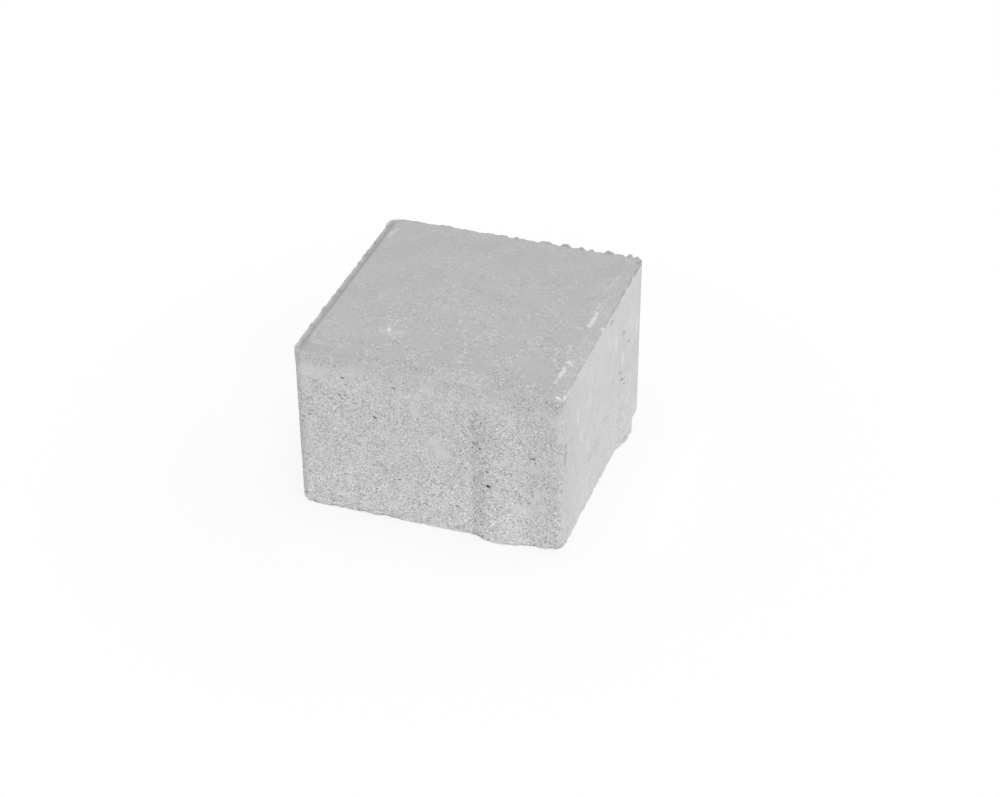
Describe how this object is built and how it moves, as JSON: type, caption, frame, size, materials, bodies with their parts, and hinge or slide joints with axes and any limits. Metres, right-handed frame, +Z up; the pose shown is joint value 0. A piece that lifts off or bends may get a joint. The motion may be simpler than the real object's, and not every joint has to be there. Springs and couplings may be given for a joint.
{
  "type": "concrete paving stone",
  "caption": "Square block of pressed concrete for paving, with a bevelled wearing face and a spacer nib on each side.",
  "frame": {"origin": "middle of the underside, on the surface that the stone lies on", "axes": "+Z up, out of the wearing face; +X and +Y are square to two neighbouring sides"},
  "size_m": [0.1098, 0.1098, 0.07],
  "materials": {
    "concrete": "pressed grey concrete, fine smooth grain on the wearing face and coarser sandy grain with small pits on the sides"
  },
  "bodies": {
    "root": {"paving_stone": "concrete"}
  },
  "joints": []
}
